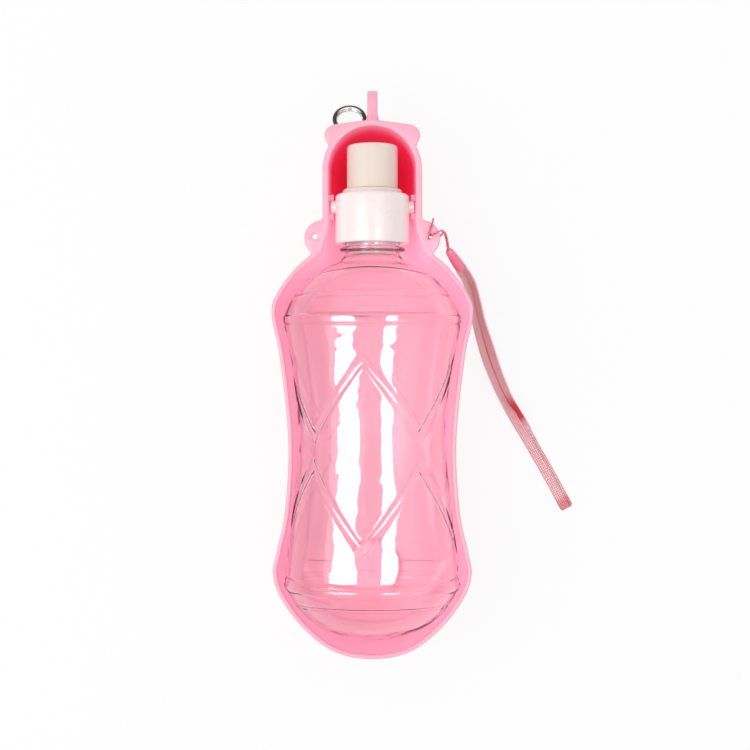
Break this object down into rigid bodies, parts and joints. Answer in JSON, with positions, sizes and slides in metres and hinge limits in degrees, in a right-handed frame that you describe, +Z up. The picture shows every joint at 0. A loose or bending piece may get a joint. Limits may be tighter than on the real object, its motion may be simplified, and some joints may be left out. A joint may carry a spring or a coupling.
{
  "type": "dog travel water bottle",
  "caption": "Clear squeeze bottle that swings out of a pink drinking trough, with a screw collar, push-pull nozzle, hanging lug, metal ring and wrist loop.",
  "frame": {"origin": "centre of the bottom of the whole object's box, without the strap, where the trough lies on its flat back", "axes": "+Z up out of the open trough, +Y along the bottle towards the hood and its hanging lug, +X to the side of the wrist loop"},
  "size_m": [0.1493, 0.2732, 0.069],
  "materials": {
    "trough_plastic": "satin pink",
    "bottle_plastic": "clear, polished",
    "collar_plastic": "satin white",
    "nozzle_plastic": "soft cream",
    "seal_rubber": "soft, translucent white",
    "ring_steel": "nickel plated",
    "sleeve_plastic": "soft pink",
    "strap_woven": "woven pink band"
  },
  "bodies": {
    "trough_body": {"trough": "trough_plastic", "strap_cord": "strap_woven", "strap_ferrule": "sleeve_plastic", "wrist_strap": "strap_woven"},
    "bottle_body": {"bottle": "bottle_plastic", "collar": "collar_plastic", "spout_base": "nozzle_plastic", "neck_gasket": "seal_rubber", "nozzle_o_ring": "seal_rubber"},
    "nozzle_body": {"nozzle": "nozzle_plastic"},
    "ring_body": {"split_ring": "ring_steel"}
  },
  "joints": [
    {"name": "bottle_swing", "type": "hinge", "parent": "trough_body", "child": "bottle_body", "pos_m": [0, 0.07855, 0.038], "axis": [-1, 0, 0], "range_deg": [0, 130]},
    {"name": "nozzle_pull", "type": "slide", "parent": "bottle_body", "child": "nozzle_body", "axis": [0, 1, 0], "range_m": [0, 0.003]},
    {"name": "ring_swing", "type": "hinge", "parent": "trough_body", "child": "ring_body", "pos_m": [-0.0114, 0.11955, 0.00967], "axis": [1, 0, 0], "range_deg": [-70, 90]}
  ]
}
